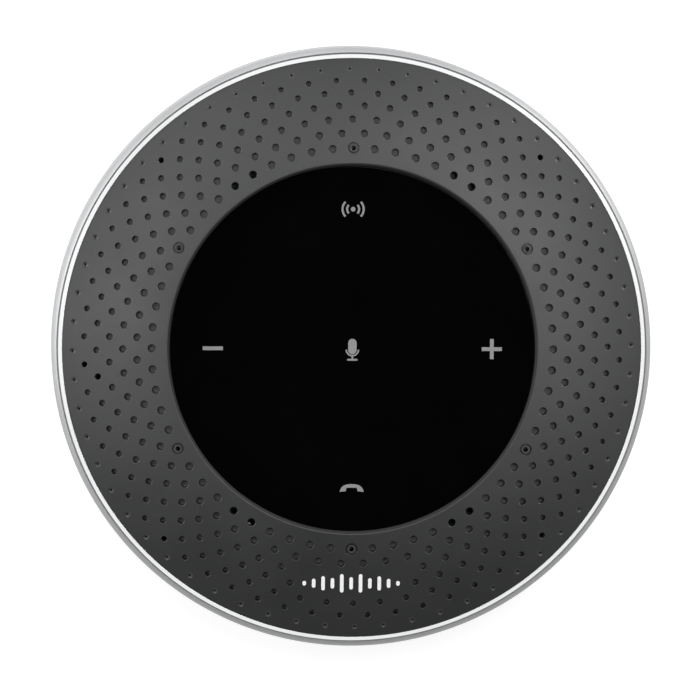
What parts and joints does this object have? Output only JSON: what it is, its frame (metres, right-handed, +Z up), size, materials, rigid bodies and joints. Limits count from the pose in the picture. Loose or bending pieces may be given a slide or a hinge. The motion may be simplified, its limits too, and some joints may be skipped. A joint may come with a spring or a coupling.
{
  "type": "conference speakerphone",
  "caption": "Round table-top conference speakerphone with a glass touch panel, perforated domed cover, microphone ports, metal band, black base with USB-C socket and power button, rubber foot.",
  "frame": {"origin": "centre of the foot ring's underside, on the surface the object stands on", "axes": "+Z up through the glass panel, +Y to the rear where the USB-C socket is, +X to the right of a user in front, where the volume-up symbol is"},
  "size_m": [0.125, 0.125, 0.0355],
  "materials": {
    "cover_plastic": "moulded, fine matte grain, dark grey",
    "port_plastic": "moulded, matte, dark grey",
    "mesh_fabric": "fine woven nylon, grey",
    "mark_ink": "pad-printed white ink",
    "band_aluminium": "bead-blasted and anodised, upper chamfer diamond cut and polished",
    "panel_glass": "chemically strengthened cover glass, black back print, polished",
    "legend_ink": "translucent light grey windows in the back print, level with the glass",
    "clear_plastic": "clear light-guide acrylic and optical film",
    "foam_adhesive": "foam tape and gasket foam",
    "seal_rubber": "soft moulded silicone",
    "board_laminate": "green glass-epoxy laminate",
    "component_black": "moulded epoxy and socket bodies",
    "led_white": "white lamp package",
    "frame_plastic": "moulded, plain matte black",
    "base_plastic": "moulded, fine spark-eroded texture, black",
    "button_plastic": "moulded, fine matte, black",
    "steel": "plain rolled or plated steel, satin",
    "screw_steel": "zinc-plated steel",
    "nickel_magnet": "nickel-plated sintered magnet",
    "coil_copper": "enamelled copper wire",
    "cone_paper": "pressed and coated black paper",
    "spider_cloth": "resin-stiffened cotton",
    "surround_rubber": "moulded butyl rubber",
    "shield_tin": "tinned steel sheet",
    "socket_steel": "drawn stainless steel",
    "cell_foil": "laminated pouch foil, satin",
    "lead_insulation": "soft lead insulation",
    "ribbon_film": "polyimide film",
    "label_film": "plain matte film, blank",
    "foot_rubber": "moulded silicone, matte black"
  },
  "bodies": {
    "housing": {"top_cover": "cover_plastic", "mic_port_inserts": "port_plastic", "acoustic_mesh": "mesh_fabric", "sound_wave_mark": "mark_ink", "trim_band": "band_aluminium", "touch_panel": "panel_glass", "legend_mute": "legend_ink", "legend_volume_up": "legend_ink", "legend_volume_down": "legend_ink", "legend_call": "legend_ink", "legend_pairing": "legend_ink", "panel_adhesive": "foam_adhesive", "touch_sensor_film": "clear_plastic", "light_guide": "clear_plastic", "legend_leds": "led_white", "touch_board": "board_laminate", "panel_tray": "frame_plastic", "tray_screws": "screw_steel", "mic_board": "board_laminate", "mic_capsules": "socket_steel", "mic_boots": "seal_rubber", "mic_board_screws": "screw_steel", "mid_frame": "frame_plastic", "frame_seal": "seal_rubber", "speaker_gasket": "foam_adhesive", "speaker_basket": "steel", "speaker_yoke": "steel", "speaker_magnet": "nickel_magnet", "speaker_pole_plate": "steel", "speaker_surround": "surround_rubber", "speaker_spider": "spider_cloth", "speaker_terminals": "component_black", "speaker_screws": "screw_steel", "base_housing": "base_plastic", "blank_label": "label_film", "foot_ring": "foot_rubber", "case_screws": "screw_steel", "main_board": "board_laminate", "board_chips": "component_black", "board_sockets": "component_black", "rf_shield": "shield_tin", "board_screws": "screw_steel", "usb_c_shell": "socket_steel", "usb_c_tongue": "component_black", "power_switch": "component_black", "antenna_strip": "ribbon_film", "battery_cell": "cell_foil", "battery_pad": "foam_adhesive", "battery_board": "board_laminate", "battery_lead": "lead_insulation", "speaker_lead": "lead_insulation", "touch_ribbon": "ribbon_film", "mic_ribbon": "ribbon_film"},
    "power_button": {"power_button": "button_plastic", "switch_plunger": "component_black"},
    "speaker_cone": {"speaker_cone": "cone_paper", "dust_cap": "cone_paper", "coil_former": "ribbon_film", "voice_coil": "coil_copper"}
  },
  "joints": [
    {"name": "power_button_press", "type": "slide", "parent": "housing", "child": "power_button", "axis": [-0.4067, -0.9135, 0], "range_m": [0, 0.00035], "stiffness_N_per_m": 600, "springref_m": -0.001},
    {"name": "cone_travel", "type": "slide", "parent": "housing", "child": "speaker_cone", "axis": [0, 0, 1], "range_m": [-0.0015, 0.0015], "stiffness_N_per_m": 900, "deforming": ["speaker_surround", "speaker_spider"]}
  ]
}
